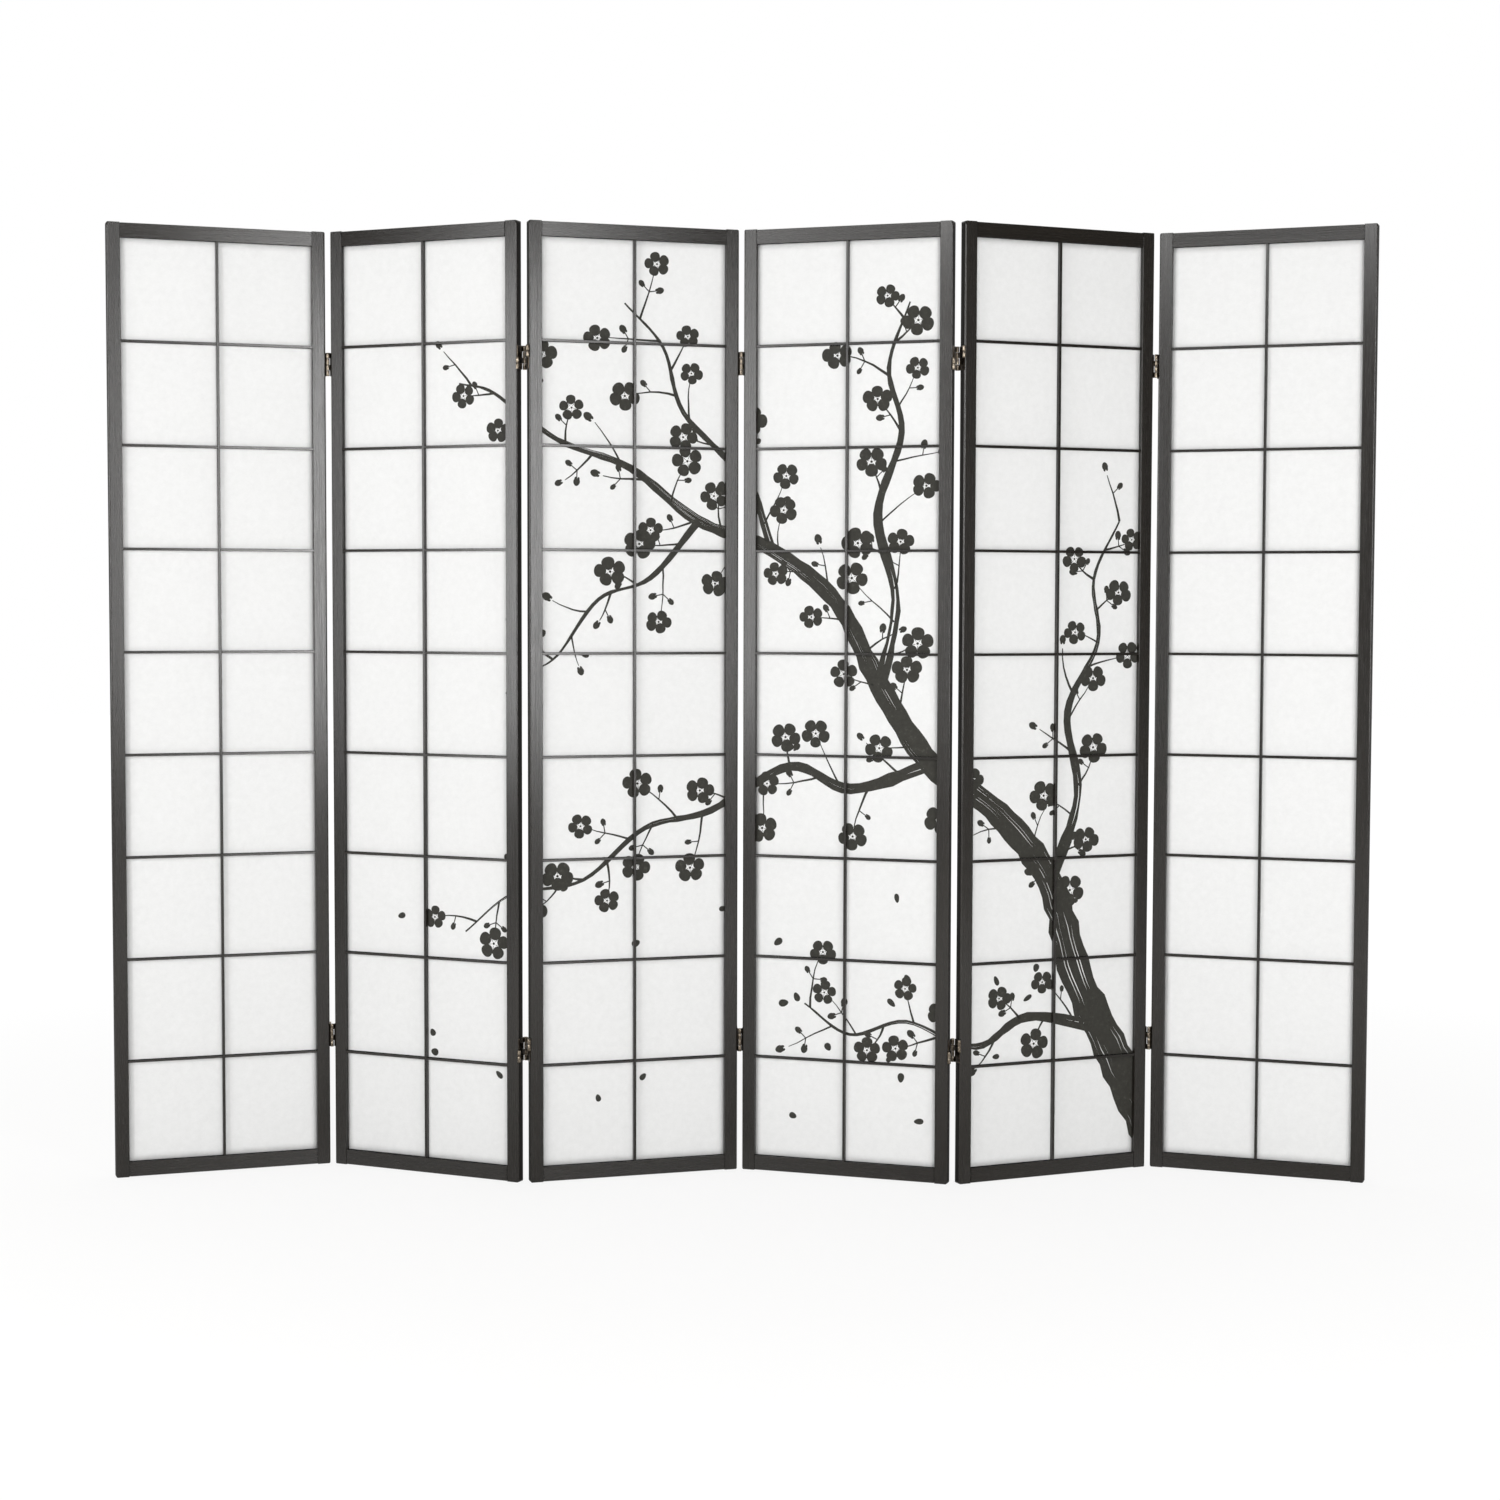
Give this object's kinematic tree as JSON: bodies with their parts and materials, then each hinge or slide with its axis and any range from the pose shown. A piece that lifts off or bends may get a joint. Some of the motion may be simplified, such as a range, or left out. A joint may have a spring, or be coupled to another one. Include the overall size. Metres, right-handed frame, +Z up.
{
  "type": "folding screen",
  "caption": "Free-standing folding screen: black wooden frames with a slim lattice and white paper, joined by double-acting hinges that fold flat either as a wall or a stack.",
  "frame": {"origin": "on the floor, under the middle of the standing row", "axes": "+X along the row to the right as seen from the front, the front faces -Y, +Z up"},
  "size_m": [2.3542, 0.1998, 1.784],
  "materials": {
    "frame": "satin",
    "lattice": "satin",
    "paper": "matte",
    "hinges": "aged"
  },
  "bodies": {
    "panel_1": {"panel_1_left_stile": "frame", "panel_1_right_stile": "frame", "panel_1_bottom_rail": "frame", "panel_1_top_rail": "frame", "panel_1_vertical_bar": "lattice", "panel_1_cross_bars": "lattice", "panel_1_paper": "paper", "panel_1_hinge_leaves": "hinges", "panel_1_hinge_links": "hinges"},
    "panel_2": {"panel_2_left_stile": "frame", "panel_2_right_stile": "frame", "panel_2_bottom_rail": "frame", "panel_2_top_rail": "frame", "panel_2_vertical_bar": "lattice", "panel_2_cross_bars": "lattice", "panel_2_paper": "paper", "panel_2_hinge_leaves": "hinges", "panel_2_hinge_links": "hinges"},
    "panel_3": {"panel_3_left_stile": "frame", "panel_3_right_stile": "frame", "panel_3_bottom_rail": "frame", "panel_3_top_rail": "frame", "panel_3_vertical_bar": "lattice", "panel_3_cross_bars": "lattice", "panel_3_paper": "paper", "panel_3_hinge_leaves": "hinges", "panel_3_hinge_links": "hinges"},
    "panel_4": {"panel_4_left_stile": "frame", "panel_4_right_stile": "frame", "panel_4_bottom_rail": "frame", "panel_4_top_rail": "frame", "panel_4_vertical_bar": "lattice", "panel_4_cross_bars": "lattice", "panel_4_paper": "paper", "panel_4_hinge_leaves": "hinges", "panel_4_hinge_links": "hinges"},
    "panel_5": {"panel_5_left_stile": "frame", "panel_5_right_stile": "frame", "panel_5_bottom_rail": "frame", "panel_5_top_rail": "frame", "panel_5_vertical_bar": "lattice", "panel_5_cross_bars": "lattice", "panel_5_paper": "paper", "panel_5_hinge_leaves": "hinges", "panel_5_hinge_links": "hinges"},
    "panel_6": {"panel_6_left_stile": "frame", "panel_6_right_stile": "frame", "panel_6_bottom_rail": "frame", "panel_6_top_rail": "frame", "panel_6_vertical_bar": "lattice", "panel_6_cross_bars": "lattice", "panel_6_paper": "paper", "panel_6_hinge_leaves": "hinges", "panel_6_hinge_links": "hinges"}
  },
  "joints": [
    {"name": "fold_1", "type": "hinge", "parent": "panel_2", "child": "panel_1", "pos_m": [-0.7863, 0.07266, 0], "axis": [0, 0, 1], "range_deg": [-44.3, 135.7]},
    {"name": "fold_2", "type": "hinge", "parent": "panel_3", "child": "panel_2", "pos_m": [-0.39921, -0.07244, 0], "axis": [0, 0, -1], "range_deg": [-42.7, 137.3]},
    {"name": "fold_3", "type": "hinge", "parent": "panel_3", "child": "panel_4", "pos_m": [0, 0.0349, 0], "axis": [0, 0, -1], "range_deg": [-37.2, 142.8]},
    {"name": "fold_4", "type": "hinge", "parent": "panel_4", "child": "panel_5", "pos_m": [0.39921, -0.07244, 0], "axis": [0, 0, 1], "range_deg": [-42.7, 137.3]},
    {"name": "fold_5", "type": "hinge", "parent": "panel_5", "child": "panel_6", "pos_m": [0.7863, 0.07266, 0], "axis": [0, 0, -1], "range_deg": [-44.3, 135.7]}
  ]
}
